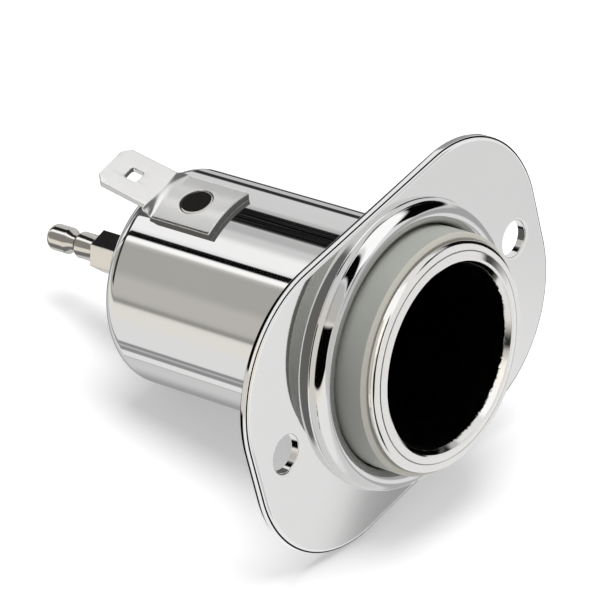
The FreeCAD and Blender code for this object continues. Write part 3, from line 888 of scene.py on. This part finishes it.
TUBE_CARDS = [
    card(82, 152, WHITE, front=-0.93), card(112, 206, BLACK, rear=-0.5, front=-0.86, soft=5),
    card(142, 178, BLACK, rear=-0.35, front=-0.41, soft=8),
    card(22, 48, BLACK, rear=-0.45, front=-0.8, soft=2),
    card(20, 40, GREY, rear=0.5, front=-0.4), card(-30, 28, BLACK, rear=0.45, front=-0.46, soft=4),
    card(165, 255, BLACK, rear=-0.36, front=-0.7, soft=4, fade=0.05),
    card(*ALL_ROUND, 50, front=0.68), card(-60, -30, DARK, front=0.35),
]
TAB_CARDS = [
    card(10, 45, 184, soft=10), card(46, 64, 202, soft=6), card(118, 150, DARK, front=0.3),
    card(68, 112, 206, front=0.42, soft=6), card(-60, -34, 62, rear=-0.45, front=-0.8),
    card(90, 110, DARK, front=0.3, soft=2), card(150, 252, 196, front=0.3, soft=2),
    card(256, 300, 14, front=0.3, soft=2), card(*ALL_ROUND, 100, rear=-0.08, front=-0.45, fade=0.04),
]
RIVET_CARDS = [card(30, 84, 34, front=0.3)]
TERMINAL_CARDS = [
    card(46, 80, 34, soft=2), card(84, 102, WHITE), card(106, 164, 128, soft=4), card(168, 200, 214),
    card(204, 246, 108, soft=6), card(-60, -26, DARK, front=0.35),
]
# Cards of a piece that is itself seen in another: the collar in the plate, the plate in the collar,
# and any other piece
COLLAR_IN_PLATE = [card(74, 243, 106, soft=9)]
PLATE_IN_COLLAR = [
    card(-1, 33, BLACK, rear=0.2, front=-0.5), card(83, 103, BLACK, rear=0.2, front=-0.5, soft=2),
    card(139, 184, BLACK, rear=0.2, front=-0.5, soft=2), card(106, 136, GREY, front=-0.5),
]
SEEN_AGAIN = [card(*ALL_ROUND, 96)]


def light_of(shade, share):
    """The light that a shade from 0 to 255 stands for, when a share of it is thrown back."""
    tone = shade / 255
    return (tone / 12.92 if tone <= 0.04045 else ((tone + 0.055) / 1.055) ** 2.4) / share


def card_group():
    """One card over what lies behind it, with soft ends."""
    group, seen, out = node_group("studio_card", {
        "Behind": 0.5, "Turn": 0.0, "Place": 0.0, "Middle": 0.0, "Half turn": 10.0, "Soft": 3.0,
        "Level": 0.0, "Half level": 1.0, "Fade": 0.02, "Tone": 0.5,
    }, {"Tone": "NodeSocketFloat"})
    cover = all_of(group, within(group, seen["Turn"], seen["Middle"], seen["Half turn"], seen["Soft"]),
                   within(group, seen["Place"], seen["Level"], seen["Half level"], seen["Fade"]))
    put(group, mixed(group, "FLOAT", cover, seen["Behind"], seen["Tone"]), out["Tone"])
    return group


def tint_group():
    """Tints a tone by where it comes from: warm from the side of the room, neutral elsewhere."""
    group, seen, out = node_group("studio_tint", {
        "Tone": 0.5, "Turn": 0.0, "Warm from": 118.0, "Warm to": 200.0, "Warmth": (1.03, 1.0, 0.93, 1.0),
    }, {"Colour": "NodeSocketColor"})
    middle, half = (maths(group, "MULTIPLY", maths(group, step, seen["Warm to"], seen["Warm from"]), 0.5)
                    for step in ("ADD", "SUBTRACT"))
    warm = within(group, seen["Turn"], middle, half, WARM_BLUR)
    scaled = add(group, "ShaderNodeVectorMath", operation="SCALE")
    put(group, mixed(group, "RGBA", warm, (1, 1, 1, 1), seen["Warmth"]), scaled.inputs[0])
    put(group, seen["Tone"], scaled.inputs["Scale"])
    put(group, scaled.outputs[0], out["Colour"])
    return group


def glint_streaks(tree, turn, place, amount):
    """Faint bright streaks painted into the surround's light, which the metal shows as glints of scratches
    along the axis, seen only over dark cards.
    """
    spot = add(tree, "ShaderNodeCombineXYZ")
    put(tree, maths(tree, "MULTIPLY", turn, GLINTS_ROUND), spot.inputs["X"])
    put(tree, maths(tree, "MULTIPLY", place, GLINTS_ALONG), spot.inputs["Y"])
    return ranged(tree, noise(tree, spot.outputs[0], scale=1, detail=3), 0.5, 0.8, high=amount)


def layers(tree, turn, place, cards, base, share):
    """The cards laid over one another on a plain base."""
    tone = light_of(base, share)
    for values in cards:
        panel = add(tree, "ShaderNodeGroup", node_tree=CARD)
        for label, value in values.items():
            if label != "Shade":
                panel.inputs[label].default_value = value
        panel.inputs["Tone"].default_value = light_of(values["Shade"], share)
        for label, value in (("Behind", tone), ("Turn", turn), ("Place", place)):
            put(tree, value, panel.inputs[label])
        tone = panel.outputs["Tone"]
    return tone


def make_surround(name, radius, cards, base, share, receivers, second=SEEN_AGAIN, scratch_glints=0.0):
    """A studio surround of light and dark cards, seen only as a reflection in the given pieces.

    Where such a piece is itself seen in another, it shows other cards, second.
    """
    bm = bmesh.new()
    bmesh.ops.create_uvsphere(bm, u_segments=48, v_segments=24, radius=radius)
    shell = from_bmesh(bm, name)
    shell.visible_camera = False
    shell.visible_diffuse = False
    shell.visible_shadow = False
    shell.visible_transmission = False
    group = bpy.data.collections.new(name + "_receivers")
    for piece in receivers:
        group.objects.link(piece)
    shell.light_linking.receiver_collection = group

    material, tree, output = bare_material(name + "_cards")
    material.cycles.emission_sampling = "NONE"
    direction = add(tree, "ShaderNodeVectorMath", operation="NORMALIZE")
    put(tree, own_spot(tree), direction.inputs[0])
    axes = split(tree, direction.outputs[0])
    degrees = maths(tree, "DEGREES", maths(tree, "ARCTAN2", axes["Z"], axes["X"]))
    turn = maths(tree, "WRAP", degrees, LAST_TURN, FIRST_TURN)

    tone = layers(tree, turn, axes["Y"], cards, base, share)
    # Bright streaks painted into the surround's light, shown in the metal as glints of scratches
    if scratch_glints:
        tone = maths(tree, "MAXIMUM", tone, glint_streaks(tree, turn, axes["Y"], scratch_glints))
    again = ranged(tree, add(tree, "ShaderNodeLightPath").outputs["Ray Depth"], 1, 2)
    tone = mixed(tree, "FLOAT", again, tone, layers(tree, turn, axes["Y"], second, base, share))
    tinted = add(tree, "ShaderNodeGroup", node_tree=TINT)
    put(tree, tone, tinted.inputs["Tone"])
    put(tree, turn, tinted.inputs["Turn"])
    glow = add(tree, "ShaderNodeEmission")
    put(tree, tinted.outputs["Colour"], glow.inputs["Color"])
    clear_glow = add(tree, "ShaderNodeAddShader")
    put(tree, glow.outputs[0], clear_glow.inputs[0])
    put(tree, add(tree, "ShaderNodeBsdfTransparent").outputs[0], clear_glow.inputs[1])
    put(tree, clear_glow.outputs[0], output)
    shell.data.materials.append(material)


def light_scene():
    """A plain white surround and one large soft lamp above."""
    world = bpy.data.worlds.new("surround")
    bpy.context.scene.world = world
    world.use_nodes = True
    tree = world.node_tree
    surround = tree.nodes["Background"].inputs
    surround["Color"].default_value = (1, 1, 1, 1)
    put(tree, ranged(tree, seen_plainly(tree), 0, 1, low=ROOM_LIGHT), surround["Strength"])
    world.cycles_visibility.glossy = False
    data = bpy.data.lights.new("soft_lamp", "AREA")
    data.shape = "DISK"
    data.size = LAMP_SIZE
    data.energy = LAMP_POWER
    lamp = bpy.data.objects.new("soft_lamp", data)
    lamp.location = LAMP_PLACE
    lamp.rotation_mode = "QUATERNION"
    lamp.rotation_quaternion = lamp.location.to_track_quat("Z", "Y")
    lamp.visible_glossy = False
    bpy.context.scene.collection.objects.link(lamp)


def place_camera():
    """The camera, which looks at the socket from above its mouth."""
    data = bpy.data.cameras.new("camera")
    data.sensor_width = 36
    data.lens = LENS
    data.clip_start = 0.01
    data.clip_end = 100
    camera = bpy.data.objects.new("camera", data)
    back = CAMERA_RIGHT.cross(CAMERA_UP).normalized()
    up = back.cross(CAMERA_RIGHT).normalized()
    turn = Matrix((CAMERA_RIGHT.normalized(), up, back)).transposed()
    camera.matrix_world = Matrix.Translation(CAMERA_PLACE) @ turn.to_4x4()
    bpy.context.scene.collection.objects.link(camera)
    bpy.context.scene.camera = camera


# The scene

place_camera()
PLATING = plating_group()
chrome = plated("bright_chrome", CHROME, roughness=0.03, variation=0.02)
# The collar's chrome, with painted shade in the groove round the ring
collar_chrome = painted_groove_shade(plated("collar_chrome", CHROME, roughness=0.03, variation=0.02))
nickel = plated("bright_nickel", (0.70, 0.675, 0.64), roughness=0.07, variation=0.05)
# The tube's nickel, with painted shade, in black, in its deep bore
bore_nickel = painted_bore_shade(plated("nickel_with_painted_bore_shade", (0.74, 0.73, 0.715), roughness=0.07,
                                    variation=0.05))
satin = plated("satin_nickel", (0.76, 0.755, 0.745), roughness=0.13, variation=0.1, clouding=0.12)
zinc = plated("zinc_plate", (0.66, 0.67, 0.68), roughness=0.28, variation=0.15, clouding=0.2)
brass = plated("bright_brass", (0.72, 0.50, 0.20), roughness=0.16, variation=0.1, clouding=0.15)
plastic = milky_plastic()
insulator = moulded_insulator()

flange = dress(make_flange(), chrome, "chrome", "flange_plate")
collar = dress(swept("collar", collar_section), collar_chrome, "chrome", "flange_plate")
flange_edge = dress(swept("flange_edge", edge_section), chrome, "chrome", "flange_plate")
ring = dress(make_ring(), plastic, "light_plastic", "light_ring")
tube = dress(make_tube(), bore_nickel, "nickel", "socket_tube")
can = dress(make_can(), chrome, "chrome", "outer_can")
tab = dress(make_tab(), satin, "satin_nickel", "ground_tab")
rivet = dress(make_rivet(), nickel, "nickel", "ground_rivet")
terminal = dress(make_terminal(), nickel, "nickel", "terminal_bullet")
hidden = []
for name, finish in (("contact_screw", zinc), ("contact_disc", brass), ("inner_insulator", insulator),
                     ("tension_washer", zinc), ("rear_insulator", insulator), ("flat_washer", zinc),
                     ("lock_washer", zinc)):
    nodes[name].data.materials.clear()
    nodes[name].data.materials.append(finish)
    hidden.append(nodes[name])

make_floor()
CARD = card_group()
TINT = tint_group()
make_surround("can_surround", 4.0, CAN_CARDS, LIGHT, CHROME_SHARE, [can] + hidden, scratch_glints=0.09)
make_surround("collar_surround", 4.1, COLLAR_CARDS, 216, CHROME_SHARE, [collar], second=COLLAR_IN_PLATE)
make_surround("plate_surround", 4.15, PLATE_CARDS, 222, CHROME_SHARE, [flange], second=PLATE_IN_COLLAR)
make_surround("edge_surround", 4.2, EDGE_CARDS, 232, CHROME_SHARE, [flange_edge])
make_surround("tube_surround", 4.3, TUBE_CARDS, 224, BORE_SHARE, [tube], scratch_glints=0.05)
make_surround("tab_surround", 4.4, TAB_CARDS, 251, SATIN_SHARE, [tab, ring])
make_surround("terminal_surround", 4.6, TERMINAL_CARDS, 182, NICKEL_SHARE, [terminal])
make_surround("rivet_surround", 4.5, RIVET_CARDS, LIGHT, NICKEL_SHARE, [rivet])
light_scene()
bpy.context.scene.view_settings.view_transform = "Standard"
